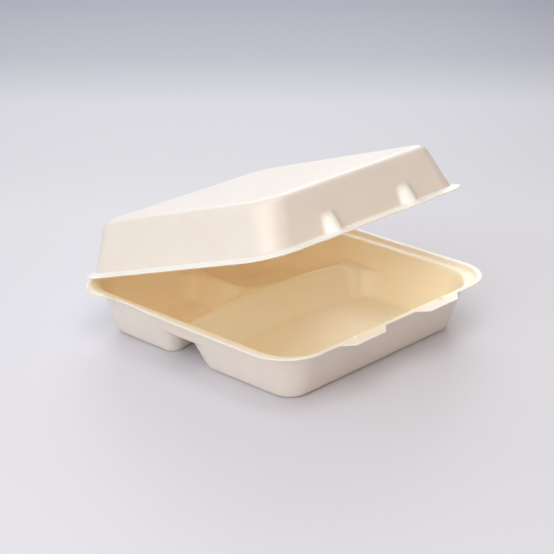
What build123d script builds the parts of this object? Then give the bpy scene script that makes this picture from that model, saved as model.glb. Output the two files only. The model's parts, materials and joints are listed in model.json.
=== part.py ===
import os
from math import radians, sqrt, tan

from build123d import *

# A hinged clamshell food box pressed from one thin sheet: a tray with one large and two
# small compartments, and a lid that swings on a thin fold along the tray's back edge.
# X runs along the front edge, Y from the front to the fold, Z up. The origin is on the
# table under the middle of the tray. Millimetres.

# Sheet
sheet = 0.8

# Tray: rim
rim_width = 230.0
rim_depth = 226.0
rim_corner = 33.0
ledge_height = 38.4
ledge_width = 7.4
ledge_end_width = 9.0
ledge_bend = 4.0
lip_rise = 2.6
lip_step_run = 2.4
lip_top_width = 3.2
lip_back_gap = 40.0
lip_back_fade = 24.0
back_set_in = 2.5

# Tray: walls and compartments
wall_lean = 18.7
floor_bend = 6.0
divider_height = 21.0
ridge_width = 3.6
ridge_middle = 30.0
ridge_bow = 17.0
ramp_run = 21.0
rear_run = 5.0
rear_divider_top = 4.4
rear_divider_foot = 22.0
pocket_corner = 16.0
rear_pocket_corner = 11.0

# Front tabs, their spacing shared by tray and lid
tab_spacing = 80.0
tab_base = 48.0
tab_tip = 30.0
tab_reach = 7.5
nub_spacing = 92.0
nub_length = 5.0
nub_width = 2.2
nub_rise = 1.2
nub_taper = 15.0
nub_set_back = 1.7

# Lid
lid_side_gap = 0.9
lid_set_back = 8.0
lid_corner = 29.0
lid_flange = 7.5
lid_height = 37.0
lid_side_inset = 20.0
lid_front_inset = 13.6
lid_back_inset = 18.4
lid_top_corner = 19.0
lid_top_bend = 7.5
lid_tab_base = 44.0
lid_tab_reach = 2.0
lug_width = 15.0
lug_reach = 7.5
lug_top_width = 12.0
lug_top_reach = 3.6
lug_height = 14.5
lug_round_share = 0.45

# Fold between tray and lid
seat_gap = 0.2
fold_gap = 0.4
open_angle = 19.0

# Cuts run past what they cut by this much
overrun = 2.0

# Worked out from the sizes above
lean_ratio = tan(radians(wall_lean))
wall_inset = sheet * tan(radians(45.0 - wall_lean / 2))
ramp_inset = sheet * (sqrt(ramp_run**2 + divider_height**2) - ramp_run) / divider_height
rear_inset = sheet * (sqrt(rear_run**2 + divider_height**2) - rear_run) / divider_height
lip_foot = lip_step_run + lip_top_width
wall_half_width = rim_width / 2 - lip_foot - ledge_width
wall_half_depth = rim_depth / 2 - ledge_end_width
wall_corner = rim_corner - lip_foot
floor_half_width = wall_half_width - ledge_height * lean_ratio
floor_half_depth = wall_half_depth - ledge_height * lean_ratio
floor_corner = wall_corner - ledge_height * lean_ratio
ridge_radius = (wall_half_width**2 + ridge_bow**2) / (2 * ridge_bow)
hinge_y = rim_depth / 2
hinge_z = ledge_height + seat_gap / 2
front_edge = -rim_depth / 2
lip_top = ledge_height + lip_rise
ridge_level = divider_height - sheet
step_inset = sheet * (sqrt(lip_step_run**2 + lip_rise**2) - lip_step_run) / lip_rise
lid_width = rim_width - 2 * (lip_foot + lid_side_gap)
lid_depth = rim_depth - lid_set_back
lid_level = ledge_height + seat_gap
lid_middle = hinge_y - lid_depth / 2
lid_wall_front = hinge_y - lid_depth + lid_flange
lid_run = lid_side_inset - lid_flange
lid_inset = sheet * (sqrt(lid_run**2 + lid_height**2) - lid_run) / lid_height
nub_y = front_edge + nub_set_back
hinge_axis = Axis((0, hinge_y, hinge_z), (1, 0, 0))


def bowed_y(middle, x):
    """Depth at x of a curve that bows back towards the fold and lies at middle for x = 0."""
    return middle - ridge_radius + sqrt(ridge_radius**2 - x**2)


def pan_outline(height, reach, inset):
    """The wall's outline where its face stands at reach above the table, drawn at height."""
    spread = reach * lean_ratio - inset
    with BuildSketch(Plane.XY.offset(height)) as outline:
        RectangleRounded(
            2 * (floor_half_width + spread),
            2 * (floor_half_depth + spread),
            floor_corner + spread,
        )
    return outline.sketch


def front_outline(height, reach, inset, rear_middle):
    """Outline of the large compartment: straight front and sides, bowed rear."""
    spread = reach * lean_ratio - inset
    half = floor_half_width + spread
    front = -floor_half_depth - spread
    rear = bowed_y(rear_middle, half)
    with BuildSketch(Plane.XY.offset(height)) as outline:
        with BuildLine():
            Polyline((-half, rear), (-half, front), (half, front), (half, rear))
            ThreePointArc((half, rear), (0, rear_middle), (-half, rear))
        make_face()
        corners = outline.vertices().group_by(Axis.Y)
        fillet(corners[0], floor_corner + spread)
        fillet(outline.vertices().group_by(Axis.Y)[-1], pocket_corner)
    return outline.sketch


def rear_outline(height, reach, inset, front_middle, inner, side):
    """Outline of a small compartment: bowed front, straight back and sides."""
    spread = reach * lean_ratio - inset
    outer = floor_half_width + spread
    back = floor_half_depth + spread
    middle = (inner + outer) / 2
    with BuildSketch(Plane.XY.offset(height)) as outline:
        with BuildLine():
            Polyline(
                (side * inner, bowed_y(front_middle, inner)),
                (side * inner, back),
                (side * outer, back),
                (side * outer, bowed_y(front_middle, outer)),
            )
            ThreePointArc(
                (side * outer, bowed_y(front_middle, outer)),
                (side * middle, bowed_y(front_middle, middle)),
                (side * inner, bowed_y(front_middle, inner)),
            )
        make_face()
        wall_corner_point = outline.vertices().sort_by(Axis.Y)[-2:].sort_by(Axis.X)[0 if side < 0 else -1]
        fillet(wall_corner_point, floor_corner + spread)
        inner_points = outline.vertices().sort_by(Axis.X)
        inner_points = inner_points[-2:] if side < 0 else inner_points[:2]
        fillet(inner_points, rear_pocket_corner)
        fillet(outline.vertices().sort_by(Axis.Y)[0], pocket_corner)
    return outline.sketch


def tab_outline(height, edge, base, reach):
    """The two outward tabs of a front edge, drawn as one sketch at height."""
    with BuildSketch(Plane.XY.offset(height)) as tabs:
        for x in (-tab_spacing / 2, tab_spacing / 2):
            with BuildLine():
                Polyline(
                    (x - base / 2, edge + overrun),
                    (x - base / 2, edge),
                    (x - tab_tip / 2, edge - reach),
                    (x + tab_tip / 2, edge - reach),
                    (x + base / 2, edge),
                    (x + base / 2, edge + overrun),
                    close=True,
                )
            make_face()
    return tabs.sketch


def front_pocket(lift, inset, face_inset):
    """The large compartment as a solid, from the floor up to the ridge."""
    ridge_front = ridge_middle - ridge_width / 2 - face_inset
    with BuildPart() as pocket:
        loft(
            [
                front_outline(lift, 0, inset, ridge_front - ramp_run),
                front_outline(ridge_level + lift, ridge_level, inset, ridge_front),
            ]
        )
        fillet(pocket.edges().group_by(Axis.Z)[0], floor_bend - lift)
    return pocket.part


def rear_pocket(lift, inset, face_inset, side):
    """A small compartment as a solid, on the side given by the sign of side."""
    ridge_rear = ridge_middle + ridge_width / 2 + face_inset
    foot = rear_divider_foot / 2 + face_inset
    crest = rear_divider_top / 2 + face_inset
    with BuildPart() as pocket:
        loft(
            [
                rear_outline(lift, 0, inset, ridge_rear + rear_run, foot, side),
                rear_outline(ridge_level + lift, ridge_level, inset, ridge_rear, crest, side),
            ]
        )
        fillet(pocket.edges().group_by(Axis.Z)[0], floor_bend - lift)
    return pocket.part


def tray_form(lift, inset, ramp_face_inset, rear_face_inset):
    """The pressed form as one solid: the sheet's outer face, or its inner face when lifted."""
    front = front_pocket(lift, inset, ramp_face_inset)
    rears = [rear_pocket(lift, inset, rear_face_inset, side) for side in (-1, 1)]
    with BuildPart() as form:
        loft(
            [
                pan_outline(ridge_level + lift, ridge_level, inset),
                pan_outline(ledge_height + lift, ledge_height, inset),
            ]
        )
        add(front)
        add(rears)
    return form.part


def rim_outline(height, inset):
    """The rim's outline moved in by inset, drawn at height."""
    with BuildSketch(Plane.XY.offset(height)) as outline:
        RectangleRounded(rim_width - 2 * inset, rim_depth - 2 * inset, rim_corner - inset)
    return outline.sketch


def within_wall_top(edge):
    """True for an edge that lies on the wall's top outline, inside the ledge."""
    reach = edge.bounding_box()
    across = max(-reach.min.X, reach.max.X)
    along = max(-reach.min.Y, reach.max.Y)
    return across < wall_half_width + wall_inset and along < wall_half_depth + wall_inset


def ledge_plate():
    """The flat ledge around the tray, wider at the back."""
    plate_level = ledge_height - sheet
    back = hinge_y - fold_gap
    plate_inset = lip_foot - step_inset
    wide_front = hinge_y - lip_back_gap - lip_back_fade - rim_corner
    with BuildPart() as plate:
        with BuildSketch(Plane.XY.offset(plate_level)):
            add(rim_outline(plate_level, plate_inset))
            with Locations((0, (back + wide_front) / 2)):
                RectangleRounded(rim_width - 2 * back_set_in, back - wide_front, rim_corner - back_set_in)
        extrude(amount=sheet)
    return plate.part


def lip_ring():
    """The raised lip with its front tabs, cut away at the back with sloping ends."""
    plate_level = ledge_height - sheet
    foot_slip = lip_step_run * sheet / lip_rise
    back_end = hinge_y - lip_back_gap
    with BuildPart() as ring:
        loft(
            [
                rim_outline(plate_level, lip_foot - step_inset),
                rim_outline(lip_top - sheet, lip_top_width - step_inset),
            ]
        )
        with BuildSketch(Plane.XY.offset(lip_top - sheet)):
            add(rim_outline(lip_top - sheet, 0))
            add(tab_outline(lip_top - sheet, front_edge, tab_base, tab_reach))
        extrude(amount=sheet)
        loft(
            [rim_outline(plate_level, lip_foot + foot_slip), rim_outline(lip_top, lip_top_width)],
            mode=Mode.SUBTRACT,
        )
        with BuildSketch(Plane.YZ):
            with BuildLine():
                Polyline(
                    (back_end, plate_level),
                    (back_end - lip_back_fade, lip_top),
                    (hinge_y + overrun, lip_top),
                    (hinge_y + overrun, plate_level),
                    close=True,
                )
            make_face()
        extrude(amount=rim_width, both=True, mode=Mode.SUBTRACT)
    return ring.part


def lid_outline(height, fall, inset):
    """The lid wall's outline fall below the lid's top face, moved in by inset."""
    share = fall / lid_height
    side = lid_side_inset + (lid_flange - lid_side_inset) * share + inset
    front = lid_front_inset + (lid_flange - lid_front_inset) * share + inset
    back = lid_back_inset + (lid_flange - lid_back_inset) * share + inset
    corner = lid_top_corner + (lid_corner - lid_flange - lid_top_corner) * share - inset
    with BuildSketch(Plane.XY.offset(height)) as outline:
        with Locations((0, lid_middle + (front - back) / 2)):
            RectangleRounded(lid_width - 2 * side, lid_depth - front - back, corner)
    return outline.sketch


def lid_form(drop, inset):
    """The lid's hollow form as one solid: its outer face, or its inner face when dropped."""
    with BuildPart() as form:
        loft(
            [
                lid_outline(lid_level - drop, lid_height, inset),
                lid_outline(lid_level + lid_height - drop, 0, inset),
            ]
        )
        fillet(form.edges().group_by(Axis.Z)[-1], lid_top_bend - drop)
    return form.part


def lid_lugs(thin):
    """The two tapering pockets on the lid's front wall, thinned to their hollows by thin."""
    lean = (lid_front_inset - lid_flange) * lug_height / lid_height
    with BuildPart() as lugs:
        for x in (-tab_spacing / 2, tab_spacing / 2):
            with BuildSketch(Plane.XY.offset(lid_level)):
                with Locations((x, lid_wall_front)):
                    Ellipse(lug_width / 2 - thin, lug_reach - thin)
            with BuildSketch(Plane.XY.offset(lid_level + lug_height - thin)):
                with Locations((x, lid_wall_front + lean)):
                    Ellipse(lug_top_width / 2 - thin, lug_top_reach - thin)
            loft()
        tops = lugs.edges().group_by(Axis.Z)[-1]
        fillet(tops, (lug_top_reach - thin) * lug_round_share)
    return lugs.part


def lid_flange_plate():
    """The flat flange around the lid with its two front tabs."""
    depth = lid_depth - fold_gap
    with BuildPart() as plate:
        with BuildSketch(Plane.XY.offset(lid_level)):
            with Locations((0, lid_middle - fold_gap / 2)):
                RectangleRounded(lid_width, depth, lid_corner)
            add(tab_outline(lid_level, hinge_y - lid_depth, lid_tab_base, lid_tab_reach))
        extrude(amount=sheet)
    return plate.part


outer_form = tray_form(0, 0, 0, 0)
inner_form = tray_form(sheet, wall_inset, ramp_inset, rear_inset)
with BuildPart() as tray:
    add(outer_form)
    add(ledge_plate())
    under = tray.edges().filter_by_position(Axis.Z, ledge_height - sheet, ledge_height - sheet)
    fillet(under.filter_by(within_wall_top), ledge_bend - sheet)
    add(inner_form, mode=Mode.SUBTRACT)
    over = tray.edges().filter_by_position(Axis.Z, ledge_height, ledge_height)
    fillet(over.filter_by(within_wall_top), ledge_bend)
    add(lip_ring())
    with BuildSketch(Plane.XY.offset(lip_top)):
        with Locations((-nub_spacing / 2, nub_y), (nub_spacing / 2, nub_y)):
            SlotOverall(nub_length, nub_width)
    extrude(amount=nub_rise, taper=nub_taper)

with BuildPart() as lid:
    add(lid_form(0, 0))
    add(lid_lugs(0))
    add(lid_flange_plate())
    add(lid_form(sheet, lid_inset), mode=Mode.SUBTRACT)
    add(lid_lugs(sheet), mode=Mode.SUBTRACT)
open_lid = lid.part.rotate(hinge_axis, -open_angle)

os.makedirs("parts", exist_ok=True)
tray.part.label = "tray"
export_step(tray.part, "parts/tray.step")
open_lid.label = "lid"
export_step(open_lid, "parts/lid.step")
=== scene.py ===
import json
import math

import bpy
import numpy as np
from mathutils import Matrix, Vector


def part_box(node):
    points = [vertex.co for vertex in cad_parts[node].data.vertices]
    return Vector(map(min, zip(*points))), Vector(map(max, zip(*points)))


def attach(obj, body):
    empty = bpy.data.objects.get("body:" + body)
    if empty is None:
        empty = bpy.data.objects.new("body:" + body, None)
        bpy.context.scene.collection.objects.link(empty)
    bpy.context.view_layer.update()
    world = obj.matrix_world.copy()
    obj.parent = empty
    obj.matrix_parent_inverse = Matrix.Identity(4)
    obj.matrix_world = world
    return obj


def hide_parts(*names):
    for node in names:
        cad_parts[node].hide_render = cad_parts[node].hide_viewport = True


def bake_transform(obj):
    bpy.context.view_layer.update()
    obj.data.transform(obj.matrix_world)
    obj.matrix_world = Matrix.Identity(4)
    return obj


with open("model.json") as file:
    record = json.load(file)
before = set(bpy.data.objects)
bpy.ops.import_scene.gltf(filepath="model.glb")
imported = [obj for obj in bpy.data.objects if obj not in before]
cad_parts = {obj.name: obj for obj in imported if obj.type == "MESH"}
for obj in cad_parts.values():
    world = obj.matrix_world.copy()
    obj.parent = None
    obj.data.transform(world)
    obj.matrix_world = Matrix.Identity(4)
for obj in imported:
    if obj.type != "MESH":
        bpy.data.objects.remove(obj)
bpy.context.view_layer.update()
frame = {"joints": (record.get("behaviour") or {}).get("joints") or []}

# A hinged food box of thin ivory sheet, half open on a pale studio floor. Sizes are in
# millimetres in the frame of the solids, and meshes are scaled to metres when made.
METRE = 1000.0
joint = frame["joints"][0]
tray_high = np.array(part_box("tray")[1]) * METRE

# Sheet, and how fine its meshes are: degrees along an arc, millimetres elsewhere
sheet = 0.8
arc_step = 14.0
wall_step = 2.4
floor_step = 1.8
fine_step = 0.7
fine_before = 6.0
fine_behind = 9.0
lid_wall_step = 1.1
lid_column_step = 4.0
lid_row_step = 5.0

# Tray
rim_half = tray_high[0]
fold_y = joint["pos_m"][1] * METRE
fold_z = joint["pos_m"][2] * METRE
rim_corner = 33.0
ledge_height = 38.4
lip_rise = 2.6
lip_top = ledge_height + lip_rise
lip_top_width = 3.2
lip_foot = 5.6
lip_bend = 1.0
lip_foot_bend = 0.9
ledge_width = 7.4
ledge_end_width = 9.0
ledge_bend = 4.0
wall_draft = math.radians(18.7)
wall_lean = math.tan(wall_draft)
floor_bend = 5.2
back_set_in = 5.0
lip_back_end = 73.0
lip_back_full = 49.0
soft_share = 1.6
dip_place = (106.0, 98.0)
dip_spread = 13.0
dip_depth = 3.2
swell_place = (rim_half, 46.0)
swell_spread = 15.0
swell_rise = 1.4
crest = 20.2
ridge_middle = 30.0
ridge_bow = 17.0
ridge_half = 1.8
bow_front = -60.0
bow_front_fade = 60.0
bow_back = 80.0
bow_back_fade = 40.0
ramp_run = 21.0
rear_run = 4.0
rear_divider_half = 2.2
rear_divider_run = 8.8
pocket_corner = 11.0
wall_foot = 2.0
ramp_foot = 3.6
least_bend = 0.1
crest_edge = 1.4
shelf_width = 9.0
shelf_length = 14.0
shelf_slope = 1.9
glow_fade = 2.0
wall_half = rim_half - lip_foot - ledge_width
wall_at_crest = wall_half - (ledge_height - crest) * wall_lean
wall_run = (ledge_height - sheet) * wall_lean
floor_edge = ledge_end_width + wall_run
ledge_end = ledge_end_width - ledge_bend * math.tan((math.pi / 2 - wall_draft) / 2)

# Tabs and lugs
tab_x = 40.0
tab_base = 24.0
tab_tip = 15.0
tab_reach = 7.5
nub_x = 46.0
nub_set_back = 1.7
nub_half_length = 2.5
nub_half_width = 1.4
nub_rise = 0.9
nub_squareness = 0.7
nub_points = 24
nub_leans = (0.0, 25.0, 45.0, 62.0, 76.0, 86.0)
lid_tab_base = 22.0
lid_tab_reach = 2.0
lug_half = 9.0
lug_reach = 8.0
lug_top_half = 6.4
lug_top_reach = 3.0
lug_height = 16.0
lug_round = 9.0
lug_lines = 14
lug_margin = 15.0

# Lid, as it lies when shut
open_angle = -joint["range_deg"][0]
lid_half = 108.5
lid_depth = 218.0
lid_clearance = 0.2
lid_level = ledge_height + lid_clearance
lid_corner = 29.0
lid_flange = 7.5
lid_flange_rise = 2.0
lid_height = 37.0
lid_side_inset = 20.0
lid_front_inset = 13.6
lid_back_inset = 18.4
lid_top_corner = 19.0
lid_top_bend = 7.5
lid_foot_bend = 1.6
lid_glow_edge = 1.2
lid_glow_fade = 4.0

# Fold, with the start and end of its bend in degrees
fold_gap = 0.4
fold_half = 78.0
fold_outer = 1.0
fold_inner = 0.5
fold_bend = (-125.0, 110.0)
fold_bend_points = 13
fold_lines = 40

# Camera, found from the photo's outlines
lens = 112.07
sensor = 36.0
camera_azimuth = -46.48
camera_elevation = 21.87
camera_roll = -0.25
camera_distance = 1291.7
camera_aim = (-4.5, 38.03)

# The sheet's colours: ivory outside, a pale painted on its edges as highlight, a cream painted inside
# as warm glow and shade, and how light meets it
ivory = (0.83, 0.77, 0.7)
ivory_deep = (0.81, 0.745, 0.675)
# Painted highlight: a paler tone on the tray's rim edge, the lid's flange and lugs, and the nubs, for
# the light they catch.
painted_highlight = (0.97, 0.925, 0.87)
painted_highlight_deep = (0.95, 0.905, 0.845)
# Painted warm glow and shade: the cream of the box's inner faces stands in for light bounced about
# inside and passed through the sheet, and near the back corners and front tabs for shade.
painted_glow_cream = (1.0, 0.905, 0.73)
painted_glow_cream_deep = (0.998, 0.888, 0.702)
glow_radius = (1.0, 0.8, 0.6)
glow_depth = 0.4
sheet_ior = 1.7
gloss_low = 0.35
gloss_high = 0.43
mottle_scale = 38.0
mottle_detail = 4.0
mottle_rough = 0.55
mottle_low = 0.3
mottle_high = 0.72
gloss_top = 0.7
tooth_scale = 900.0
tooth_detail = 3.0
tooth_rough = 0.6
tooth_strength = 0.05
tooth_depth = 0.0006

# Light, and each lamp's name, place in metres, size in metres, power in watts and colour
light_aim = (0.0, 0.0, 0.05)
light_bounces = 40
studio_lights = [
    ("back_light", (1.2, 1.3, 0.8), 1.2, 9.6, (0.97, 0.98, 1.0)),
    ("left_light", (-1.3, -0.3, 0.55), 0.8, 4.7, (1.0, 0.99, 0.98)),
    ("front_light", (-1.0, -0.7, 1.0), 0.8, 4.0, (1.0, 0.98, 0.96)),
    ("top_light", (-0.2, -0.4, 1.7), 1.0, 6.0, (1.0, 0.99, 0.98)),
]

# The fill light's tones along one level direction, whose far side is warm
fill_turn = -65.0
fill_tones = [
    (0.0, (0.97, 0.985, 1.0)),
    (0.7, (0.64, 0.5, 0.37)),
]
fill_strength = 0.67

# The floor, and its tones at distances in metres behind the middle of the box; the dark far tones are
# painted shade for the studio light falling off
floor_gloss = 0.6
floor_reach = 2.0
floor_half = 6.0
floor_tones = [
    (-0.6, (0.69, 0.69, 0.75)),
    (0.25, (0.71, 0.71, 0.77)),
    (0.4, (0.65, 0.66, 0.72)),
    (0.6, (0.61, 0.62, 0.68)),
    (0.8, (0.4, 0.41, 0.49)),
    (1.1, (0.26, 0.27, 0.35)),
]


def smooth(value):
    """A soft step from 0 at value 0 to 1 at value 1."""
    t = np.clip(value, 0.0, 1.0)
    return t * t * (3.0 - 2.0 * t)


def hump(x, y, at, spread):
    """A round bump of height 1 at a place, fading over spread."""
    return np.exp(-((x - at[0]) ** 2 + (y - at[1]) ** 2) / (2.0 * spread**2))


def subdivided(points, longest):
    """The points of a line with extra ones wherever two are further apart than longest."""
    out = [np.array(points[0], float)]
    for here, after in zip(points, points[1:]):
        here, after = np.atleast_1d(here).astype(float), np.atleast_1d(after).astype(float)
        steps = max(1, math.ceil(np.linalg.norm(after - here) / longest - 1e-6))
        out += [here + (after - here) * i / steps for i in range(1, steps + 1)]
    return np.array([np.atleast_1d(p) for p in out]).squeeze()


def rounded_path(points, radii, longest):
    """A bent line whose inner corners are arcs of the given radii."""
    corners = [np.array(p, float) for p in points]
    out = [corners[0]]
    for before, here, after, radius in zip(corners, corners[1:], corners[2:], radii):
        u = (before - here) / np.linalg.norm(before - here)
        v = (after - here) / np.linalg.norm(after - here)
        half = math.acos(np.clip(u @ v, -1.0, 1.0)) / 2.0
        middle = here + (u + v) / np.linalg.norm(u + v) * radius / math.sin(half)
        start = here + u * radius / math.tan(half) - middle
        end = here + v * radius / math.tan(half) - middle
        turn = math.pi - 2.0 * half
        steps = max(2, math.ceil(turn / math.radians(arc_step)))
        for i in range(steps + 1):
            a, b = math.sin(turn * (1 - i / steps)), math.sin(turn * i / steps)
            out.append(middle + (start * a + end * b) / math.sin(turn))
    out.append(corners[-1])
    return subdivided(out, longest)


def ringed_grid(half, front, back, corner, columns, rows):
    """A grid whose outer lines are nested rounded rectangles. Returns x, y and ring number."""
    rings = len(half)
    xs = np.concatenate([-half, columns, half[::-1]])
    ys = np.concatenate([front, rows, back[::-1]])
    x, y = np.meshgrid(xs, ys, indexing="ij")
    i = np.minimum(np.arange(len(xs)), np.arange(len(xs))[::-1])
    j = np.minimum(np.arange(len(ys)), np.arange(len(ys))[::-1])
    ring = np.minimum(np.minimum(i[:, None], j[None, :]), rings)
    last = np.minimum(ring, rings - 1)
    radius = np.where(ring < rings, corner[last], 0.0)
    middle_x = half[last] - radius
    fore = front[last] + radius - y
    aft = y - back[last] + radius
    dx = np.abs(x) - middle_x
    dy = np.maximum(fore, aft)
    in_corner = (dx > 0) & (dy > 0) & (radius > 0)
    reach = np.hypot(np.where(in_corner, dx, 1.0), np.where(in_corner, dy, 1.0))
    pull = np.where(in_corner, np.maximum(dx, dy) / reach, 1.0)
    x = np.where(in_corner, np.sign(x) * (middle_x + dx * pull), x)
    shift = np.where(in_corner, dy * (1.0 - pull), 0.0)
    y = y + np.where(fore > aft, shift, -shift)
    return x, y, ring


def set_tint(piece, name, shares):
    """Stores how much of a tint each point of a piece has."""
    piece.data.attributes.new(name, "FLOAT", "POINT").data.foreach_set("value", shares)


def mesh_object(name, points, faces):
    """An object with smooth faces over points in millimetres."""
    mesh = bpy.data.meshes.new(name)
    mesh.from_pydata((points / METRE).tolist(), [], faces)
    mesh.polygons.foreach_set("use_smooth", [True] * len(mesh.polygons))
    mesh.update()
    piece = bpy.data.objects.new(name, mesh)
    bpy.context.scene.collection.objects.link(piece)
    return piece


def point_normals(points, quads):
    """The unit normal at each point, from the faces around it."""
    corners = [points[quads[:, side]] for side in range(4)]
    face = np.cross(corners[2] - corners[0], corners[3] - corners[1])
    normal = np.zeros_like(points)
    for side in range(4):
        np.add.at(normal, quads[:, side], face)
    return normal / np.linalg.norm(normal, axis=1, keepdims=True)


def sheet_object(name, points, upper_glow, lower_glow, upper_highlight):
    """A closed thin sheet: the grid of points is its upper face, the lower one lies beneath.

    The next two grids say how much painted warm glow and shade each point of those faces takes,
    rising from the rim into the box, and the last one how much painted highlight the upper face
    takes.
    """
    across, along = points.shape[:2]
    upper = points.reshape(-1, 3)
    count = len(upper)
    index = np.arange(count).reshape(across, along)
    quads = np.stack([index[:-1, :-1], index[1:, :-1], index[1:, 1:], index[:-1, 1:]], -1)
    quads = quads.reshape(-1, 4)
    lower = upper - point_normals(upper, quads) * sheet
    edge = np.concatenate([index[:, 0], index[-1, 1:], index[-2::-1, -1], index[0, -2:0:-1]])
    after = np.roll(edge, -1)
    rim = np.stack([edge, edge + count, after + count, after], -1)
    faces = np.concatenate([quads, quads[:, ::-1] + count, rim])
    piece = mesh_object(name, np.concatenate([upper, lower]), faces.tolist())
    sharp = {frozenset(pair) for pair in zip(edge.tolist(), after.tolist())}
    sharp |= {frozenset((a + count, b + count)) for a, b in zip(edge.tolist(), after.tolist())}
    for line in piece.data.edges:
        line.use_edge_sharp = frozenset(line.vertices) in sharp
    # Painted light: the share of cream glow and shade and the share of pale highlight at each point.
    set_tint(piece, "painted_glow", np.concatenate([upper_glow.ravel(), lower_glow.ravel()]))
    set_tint(piece, "painted_highlight", np.concatenate([upper_highlight.ravel(), np.zeros(count)]))
    return piece


def tab_profile(x, base, tip, reach):
    """How far the two front tabs stand out at x."""
    away = np.abs(np.abs(x) - tab_x)
    return reach * np.clip((base - away) / (base - tip), 0.0, 1.0)


def bow(x):
    """The main divider's y at x, counted from its middle; its ends lie further forward."""
    radius = (wall_half**2 + ridge_bow**2) / (2.0 * ridge_bow)
    return np.sqrt(radius**2 - x**2) - radius


def eased(step, bend):
    """The step where it is above 0, else 0, with a soft bend between the two."""
    soft = (step + bend) ** 2 / (4.0 * bend)
    return np.where(step > bend, step, np.where(step < -bend, 0.0, soft))


def pocket_height(faces):
    """Height above the floor of sloping faces that meet in rounded corners, seen from above.

    Each face is its distance beyond its foot line, its slope and the bend at its foot.
    """
    reach = np.stack([np.maximum(step + pocket_corner, 0.0) for step, slope, bend in faces])
    total = np.maximum((reach**2).sum(0), 1e-6)
    share = reach**2 / total
    slope = sum(part * face[1] for part, face in zip(share, faces))
    bend = sum(part * face[2] for part, face in zip(share, faces))
    return slope * eased(np.sqrt(total) - pocket_corner, np.maximum(bend, least_bend))


def tray_grid():
    """The tray's grid before it is shaped: x, y, the inset from the rim and the height."""
    inner_edge = floor_edge + rim_corner - lip_foot - wall_run
    profile = rounded_path(
        [
            (0.0, lip_top),
            (lip_top_width, lip_top),
            (lip_foot, ledge_height),
            (ledge_end_width, ledge_height),
            (floor_edge, sheet),
            (inner_edge, sheet),
        ],
        [lip_bend, lip_foot_bend, ledge_bend, floor_bend],
        wall_step,
    )
    inset, level = profile[:, 0], profile[:, 1]
    ledge_share = np.clip((inset - lip_foot) / (ledge_end - lip_foot), 0.0, 1.0)
    side_inset = inset + ledge_share * (lip_foot + ledge_width - ledge_end_width)
    corner = rim_corner - np.minimum(inset, lip_foot) - np.maximum(inset - ledge_end_width, 0.0)
    half = rim_half - side_inset
    reach = fold_y - inset
    marks = [0.0, tab_x - tab_base, tab_x - tab_tip, tab_x + tab_tip, tab_x + tab_base, half[-1]]
    right = subdivided(marks, floor_step)[:-1]
    columns = np.concatenate([-right[:0:-1], right])
    fine_start, fine_end = ridge_middle - fine_before, ridge_middle + fine_behind
    front_rows = subdivided([-reach[-1], fine_start], floor_step)[1:]
    fine_rows = subdivided([fine_start, fine_end], fine_step)[1:]
    back_rows = subdivided([fine_end, reach[-1]], floor_step)[1:-1]
    rows = np.concatenate([front_rows, fine_rows, back_rows])
    x, y, ring = ringed_grid(half, -reach, reach, corner, columns, rows)
    last = np.minimum(ring, len(inset) - 1)
    return x, y, inset[last], level[last]


def at_back(y):
    """How far along the sides, towards the back, the lip has faded."""
    return smooth((y - lip_back_full) / (lip_back_end - lip_back_full))


def shaped_rim(x, y, z, inset):
    """The rim with its lip, its tabs, its drawn-in back corners and its soft waves."""
    lip = smooth((lip_back_end - y) / (lip_back_end - lip_back_full))
    on_rim = np.clip((ledge_end - inset) / ledge_end, 0.0, 1.0)
    z = np.where(z > ledge_height, ledge_height + (z - ledge_height) * lip, z)
    on_lip = np.clip(1.0 - inset / lip_top_width, 0.0, 1.0)
    front = (y < 0) & (np.abs(x) < rim_half - rim_corner)
    y = y - np.where(front, tab_profile(x, tab_base, tab_tip, tab_reach) * on_lip, 0.0)
    outward = np.clip(np.abs(x) - (rim_half - rim_corner), 0.0, rim_corner) / rim_corner
    x = x - np.sign(x) * back_set_in * at_back(y) * outward * on_rim
    y = np.minimum(y, fold_y - fold_gap)
    dip = hump(np.abs(x), y, dip_place, dip_spread)
    swell = hump(np.abs(x), y, swell_place, swell_spread)
    z = z + smooth(on_rim * soft_share) * (swell_rise * swell - dip_depth * dip)
    return x, y, z


def compartments(x, y, inset):
    """Height above the floor of the faces and dividers of the three compartments."""
    past_ridge = y - ridge_middle - bow(x)
    up_wall = floor_edge - inset
    up_ramp = past_ridge + ridge_half + ramp_run
    up_rear = ridge_half + rear_run - past_ridge
    up_cross = rear_divider_half + rear_divider_run - np.abs(x)
    wall_face = (up_wall, 1.0 / wall_lean, wall_foot)
    ramp_face = (up_ramp, crest / ramp_run, ramp_foot)
    rear_face = (up_rear, crest / rear_run, wall_foot)
    cross_face = (up_cross, crest / rear_divider_run, wall_foot)
    large = pocket_height([wall_face, ramp_face])
    small = pocket_height([wall_face, rear_face, cross_face])
    on_shelf = np.minimum(np.abs(x) - wall_at_crest + shelf_width, past_ridge + shelf_length)
    shelf = crest + shelf_slope * np.minimum(on_shelf, 0.0)
    form = np.where(past_ridge < 0, np.maximum(large, shelf), small)
    return crest - eased(crest - form, crest_edge)


def tray_points():
    """The tray's upper face as a grid of points, its share of painted warm glow and shade, and its
    share of painted highlight.
    """
    x, y, inset, z = tray_grid()
    along_bow = smooth((y - bow_front) / bow_front_fade) * smooth((bow_back - y) / bow_back_fade)
    y = y + bow(x) * along_bow
    x, y, z = shaped_rim(x, y, z, inset)
    z = np.maximum(z, sheet + compartments(x, y, inset))
    # Painted glow and shade start past the lip's top, or at the very edge towards the back and the
    # front. The painted highlight takes the rest of the upper face.
    at_front = smooth((fold_y - ledge_end_width + y) / -ledge_end_width)
    highlight_width = lip_top_width * (1.0 - at_back(y)) * (1.0 - at_front)
    painted_glow = smooth((inset - highlight_width) / glow_fade)
    return np.stack([x, y, z], -1), painted_glow, 1.0 - painted_glow


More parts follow.
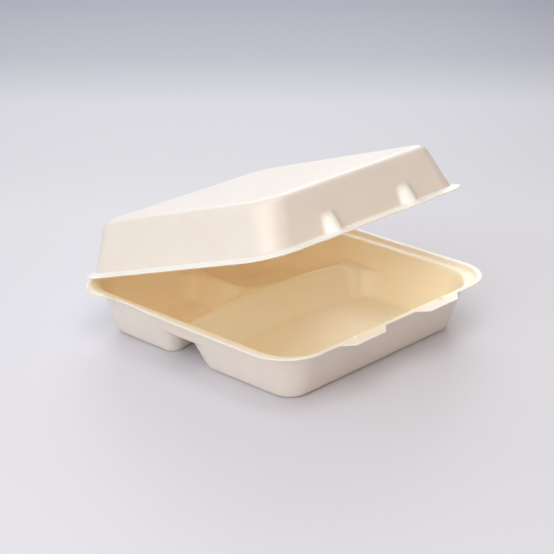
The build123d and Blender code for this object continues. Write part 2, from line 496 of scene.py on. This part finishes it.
def lid_grid():
    """The shut lid's grid: x, y, the inset from its edge, the height, and what is its front."""
    inner_edge = lid_side_inset + lid_top_corner
    stops = [0.0, lid_flange, lid_side_inset, inner_edge]
    heights = [sheet, sheet + lid_flange_rise, lid_height, lid_height]
    profile = rounded_path(list(zip(stops, heights)), [lid_foot_bend, lid_top_bend], lid_wall_step)
    inset, level = profile[:, 0], profile[:, 1]
    front_stops = [0.0, lid_flange, lid_front_inset, lid_front_inset + lid_top_corner]
    back_stops = [0.0, lid_flange, lid_back_inset, lid_back_inset + lid_top_corner]
    corner = np.interp(inset, stops, [lid_corner, lid_corner - lid_flange, lid_top_corner, 0.0])
    half = lid_half - inset
    front = fold_y - lid_depth + np.interp(inset, stops, front_stops)
    back = fold_y - fold_gap - np.interp(inset, stops, back_stops)
    lug = tab_x + lug_half * np.sin(np.radians(np.linspace(-90.0, 90.0, lug_lines + 1)))
    nearer = subdivided([0.0, tab_x - lug_margin, lug[0]], lid_column_step)[:-1]
    further = subdivided([lug[-1], tab_x + lug_margin, half[-1]], lid_column_step)[1:-1]
    right = np.concatenate([nearer, lug, further])
    columns = np.concatenate([-right[:0:-1], right])
    rows = subdivided([front[-1], back[-1]], lid_row_step)[1:-1]
    x, y, ring = ringed_grid(half, front, back, corner, columns, rows)
    last = np.minimum(ring, len(inset) - 1)
    fore = (y < front[-1]) & (np.abs(x) < lid_half - lid_corner)
    return x, y, inset[last], level[last], fore


def shaped_front(x, y, z, inset, fore):
    """The lid's front with its tabs and two lugs. Returns x, y and how far the lugs swell."""
    tabs = tab_profile(x, lid_tab_base, tab_tip, lid_tab_reach)
    rise = np.clip(z / lug_height, 0.0, 1.0)
    follow = 1.0 + (lug_top_half / lug_half - 1.0) * rise
    stands = lug_reach + (lug_top_reach - lug_reach) * rise
    over = np.maximum(z - lug_height + lug_round, 0.0) / lug_round
    roof = np.sqrt(np.clip(1.0 - over**2, 0.0, 1.0))
    away = np.abs(x) - tab_x
    share = np.clip(np.abs(away) / lug_half, 0.0, 1.0)
    bulge = stands * np.cos(share * math.pi / 2.0) * roof
    kept = 1.0 - smooth((z - lug_height) / (lid_height - lug_height - lid_top_bend))
    ease = np.clip((lug_margin - np.abs(away)) / (lug_margin - lug_half), 0.0, 1.0)
    beside = np.sign(away) * (lug_half * follow * ease + lug_margin * (1.0 - ease))
    drawn = np.where(np.abs(away) < lug_half, away * follow, beside)
    in_zone = fore & (np.abs(away) < lug_margin) & (inset > lid_flange - lid_foot_bend)
    x = np.where(in_zone, np.sign(x) * (tab_x + away + (drawn - away) * kept), x)
    flange_share = np.clip(inset / lid_flange, 0.0, 1.0)
    move = -tabs * (1.0 - flange_share) - bulge * np.where(inset < lid_flange, flange_share, 1.0)
    return x, y + np.where(fore, move, 0.0), bulge


def opened(y, z):
    """The shut lid's y and z turned about the fold to its pose at rest, half open."""
    turn = math.radians(open_angle)
    run, rise = fold_y - y, z + lid_level - fold_z
    y = fold_y - run * math.cos(turn) + rise * math.sin(turn)
    z = fold_z + run * math.sin(turn) + rise * math.cos(turn)
    return y, z


def lid_points():
    """The lid's upper face as a grid of points, its share of painted warm glow, and its share of
    painted highlight.
    """
    x, y, inset, z, fore = lid_grid()
    x, y, bulge = shaped_front(x, y, z, inset, fore)
    y, z = opened(y, z)
    # Painted warm glow for the lid's underside, and painted highlight on its flange and lugs.
    painted_glow = smooth((inset - lid_glow_edge) / lid_glow_fade)
    on_flange = smooth((lid_flange - inset) / lid_foot_bend)
    on_lug = np.where(fore, smooth(bulge / lug_top_reach), 0.0)
    return np.stack([x, y, z], -1), painted_glow, np.maximum(on_flange, on_lug)


def solid_object(name, loops):
    """A closed skin over a row of equal loops of points, with its two ends filled."""
    rows, around = loops.shape[:2]
    index = np.arange(rows * around).reshape(rows, around)
    here, beside = index[:-1], np.roll(index[:-1], -1, axis=1)
    after, across = index[1:], np.roll(index[1:], -1, axis=1)
    faces = np.stack([here, beside, across, after], -1).reshape(-1, 4).tolist()
    faces += [index[0, ::-1].tolist(), index[-1].tolist()]
    return mesh_object(name, loops.reshape(-1, 3), faces)


def squared(wave):
    """A wave with fuller shoulders, for an oblong with round corners."""
    return np.sign(wave) * np.abs(wave) ** nub_squareness


def nub_loops(side):
    """Loops of a low oblong nub on the tray's front lip, from its foot to its top."""
    around = np.linspace(0.0, 2.0 * math.pi, nub_points + 1)[:-1]
    across, along = squared(np.cos(around)), squared(np.sin(around))
    loops = []
    for lean in np.radians(nub_leans):
        rise = nub_rise * math.sin(lean) - sheet / 2.0 * (lean == 0.0)
        x = side * nub_x + nub_half_length * math.cos(lean) * across
        y = nub_set_back - fold_y + nub_half_width * math.cos(lean) * along
        loops.append(np.stack([x, y, np.full_like(x, lip_top + rise)], -1))
    return np.array(loops)


def fold_loops():
    """Loops along the fold: a thin web bent round behind the joint from tray to lid."""
    bend = np.radians(np.linspace(*fold_bend, fold_bend_points))
    arc = np.stack([np.cos(bend), np.sin(bend)], -1)
    ring = np.concatenate([fold_outer * arc, fold_inner * arc[::-1]])
    y, z = fold_y + ring[:, 0], fold_z + ring[:, 1]
    lines = np.linspace(-fold_half, fold_half, fold_lines)
    return np.array([np.column_stack([np.full(len(ring), x), y, z]) for x in lines])


def node(tree, kind, **values):
    """A shader node with its input values set by name."""
    made = tree.nodes.new(kind)
    for key, value in values.items():
        made.inputs[key.replace("_", " ")].default_value = value
    return made


def colour_ramp(tree, stops):
    """A colour ramp node with the given places and colours."""
    made = tree.nodes.new("ShaderNodeValToRGB")
    elements = made.color_ramp.elements
    for at, colour in stops[1:-1]:
        elements.new(at)
    for element, (at, colour) in zip(elements, stops):
        element.position = at
        element.color = (*colour, 1.0)
    return made


def link(tree, *pairs):
    """Joins each pair of sockets, from the first to the second."""
    for source, target in pairs:
        tree.links.new(source, target)


def noise(tree, place, scale, detail, rough):
    """The shade of a noise texture over a place."""
    made = node(tree, "ShaderNodeTexNoise", Scale=scale, Detail=detail, Roughness=rough)
    link(tree, (place, made.inputs["Vector"]))
    return made.outputs["Fac"]


def tint_mix(tree, name, base, tint):
    """A mix from base to tint by the share of that name stored at the points of a mesh."""
    share = tree.nodes.new("ShaderNodeAttribute")
    share.attribute_name = name
    mix = tree.nodes.new("ShaderNodeMix")
    mix.data_type = "RGBA"
    link(tree, (share.outputs["Fac"], mix.inputs["Factor"]))
    link(tree, (base, mix.inputs["A"]), (tint, mix.inputs["B"]))
    return mix.outputs["Result"]


def sheet_material(name):
    """Satin ivory sheet with faint mottling, fine tooth and light passing through it, a cream painted
    inside as warm glow and shade, and a pale painted on its edges as highlight.
    """
    material = bpy.data.materials.new(name)
    material.use_nodes = True
    tree = material.node_tree
    shader = tree.nodes["Principled BSDF"]
    shader.inputs["IOR"].default_value = sheet_ior
    shader.inputs["Subsurface Weight"].default_value = 1.0
    shader.inputs["Subsurface Radius"].default_value = glow_radius
    shader.inputs["Subsurface Scale"].default_value = glow_depth / METRE
    place = tree.nodes.new("ShaderNodeTexCoord").outputs["Object"]
    mottle = noise(tree, place, mottle_scale, mottle_detail, mottle_rough)
    tooth = noise(tree, place, tooth_scale, tooth_detail, tooth_rough)
    bump = node(tree, "ShaderNodeBump", Strength=tooth_strength, Distance=tooth_depth)
    # Ivory outside, cream painted on the inner faces as warm glow and shade, and pale painted on the
    # edges, flange, lugs and nubs as highlight.
    tints = []
    for deep, light in ((ivory_deep, ivory), (painted_glow_cream_deep, painted_glow_cream), (painted_highlight_deep, painted_highlight)):
        ramp = colour_ramp(tree, [(mottle_low, deep), (mottle_high, light)])
        link(tree, (mottle, ramp.inputs["Fac"]))
        tints.append(ramp.outputs["Color"])
    outer, inner, edge = tints
    colour = tint_mix(tree, "painted_highlight", tint_mix(tree, "painted_glow", outer, inner), edge)
    gloss = colour_ramp(tree, [(mottle_low, (gloss_low,) * 3), (gloss_top, (gloss_high,) * 3)])
    link(tree, (mottle, gloss.inputs["Fac"]), (tooth, bump.inputs["Height"]))
    link(tree, (colour, shader.inputs["Base Color"]))
    link(tree, (gloss.outputs["Color"], shader.inputs["Roughness"]))
    link(tree, (bump.outputs["Normal"], shader.inputs["Normal"]))
    return material


def ramp_along(tree, vector, turn, reach, tones):
    """A colour ramp along one level direction, turned from X; each tone has its distance."""
    turned = node(tree, "ShaderNodeMapping", Rotation=(0.0, 0.0, math.radians(-turn)))
    apart = tree.nodes.new("ShaderNodeSeparateXYZ")
    along = node(tree, "ShaderNodeMapRange", From_Min=-reach, From_Max=reach)
    ramp = colour_ramp(tree, [(0.5 + at / (2.0 * reach), tone) for at, tone in tones])
    link(tree, (vector, turned.inputs["Vector"]))
    link(tree, (turned.outputs["Vector"], apart.inputs["Vector"]))
    link(tree, (apart.outputs["X"], along.inputs["Value"]))
    link(tree, (along.outputs["Result"], ramp.inputs["Fac"]))
    return ramp.outputs["Color"]


def floor_material():
    """A light cool grey floor that turns darker far behind the box, painted shade for the studio
    light falling off.
    """
    material = bpy.data.materials.new("studio_floor")
    material.use_nodes = True
    tree = material.node_tree
    shader = tree.nodes["Principled BSDF"]
    shader.inputs["Roughness"].default_value = floor_gloss
    place = tree.nodes.new("ShaderNodeTexCoord").outputs["Object"]
    shade = ramp_along(tree, place, 90.0 + camera_azimuth, floor_reach, floor_tones)
    link(tree, (shade, shader.inputs["Base Color"]))
    return material


def add_floor():
    """The studio floor, a large flat plane under the box."""
    mesh = bpy.data.meshes.new("floor")
    signs = ((-1, -1), (1, -1), (1, 1), (-1, 1))
    corners = [(side * floor_half, depth * floor_half, 0.0) for side, depth in signs]
    mesh.from_pydata(corners, [], [(0, 1, 2, 3)])
    floor = bpy.data.objects.new("floor", mesh)
    bpy.context.scene.collection.objects.link(floor)
    mesh.materials.append(floor_material())


def add_light(name, place, size, power, colour):
    """A square soft light at a place in metres, turned to the box."""
    data = bpy.data.lights.new(name, "AREA")
    data.size = size
    data.energy = power
    data.color = colour
    light = bpy.data.objects.new(name, data)
    light.location = place
    light.rotation_euler = (Vector(light_aim) - Vector(place)).to_track_quat("-Z", "Y").to_euler()
    light.visible_camera = False
    bpy.context.scene.collection.objects.link(light)


def add_lights():
    """Soft studio light: four square lights around the box and a fill with one warm side."""
    for light in studio_lights:
        add_light(*light)
    world = bpy.data.worlds.new("studio")
    bpy.context.scene.world = world
    world.use_nodes = True
    tree = world.node_tree
    background = tree.nodes["Background"]
    background.inputs["Strength"].default_value = fill_strength
    direction = tree.nodes.new("ShaderNodeTexCoord").outputs["Generated"]
    tint = ramp_along(tree, direction, fill_turn, 1.0, fill_tones)
    link(tree, (tint, background.inputs["Color"]))


def add_camera():
    """The camera at the photo's viewing angle, with the box where the photo has it."""
    turn, lift, roll = (math.radians(a) for a in (camera_azimuth, camera_elevation, camera_roll))
    back = Vector((math.sin(turn) * math.cos(lift), -math.cos(turn) * math.cos(lift), math.sin(lift)))
    level = Vector((0.0, 0.0, 1.0)).cross(back).normalized()
    upright = back.cross(level)
    right = math.cos(roll) * level + math.sin(roll) * upright
    up = math.cos(roll) * upright - math.sin(roll) * level
    place = camera_distance * back + camera_aim[0] * right + camera_aim[1] * up
    data = bpy.data.cameras.new("camera")
    data.sensor_width = sensor
    data.lens = lens
    camera = bpy.data.objects.new("camera", data)
    turned = Matrix((right, up, back)).transposed().to_4x4()
    camera.matrix_world = Matrix.Translation(place / METRE) @ turned
    bpy.context.scene.collection.objects.link(camera)
    bpy.context.scene.camera = camera


tray_material = sheet_material("tray_sheet")
lid_material = sheet_material("lid_sheet")

# The tray's inner faces take the painted glow and shade, and its rim edge takes the painted
# highlight.
grid, painted_glow, edge = tray_points()
tray = sheet_object("tray_shell", grid, painted_glow, np.zeros_like(painted_glow), edge)
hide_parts("tray")
nubs = [solid_object(name, nub_loops(side)) for name, side in (("nub_left", -1), ("nub_right", 1))]
# The nubs take the painted highlight all over.
for piece in nubs:
    set_tint(piece, "painted_highlight", np.ones(len(piece.data.vertices)))
for piece in (tray, *nubs):
    piece.data.materials.append(tray_material)
    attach(piece, "tray")

# The lid's underside takes the painted glow, and its flange and lugs take the painted highlight.
grid, painted_glow, edge = lid_points()
lid = sheet_object("lid_shell", grid, np.zeros_like(painted_glow), painted_glow, edge)
lid.data.materials.append(lid_material)
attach(lid, "lid")
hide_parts("lid")

fold = solid_object("fold_web", fold_loops())
fold.data.materials.append(tray_material)
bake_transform(fold)

add_floor()
add_lights()
add_camera()
bpy.context.scene.view_settings.view_transform = "Standard"
bpy.context.scene.cycles.diffuse_bounces = light_bounces
bpy.context.scene.cycles.max_bounces = light_bounces
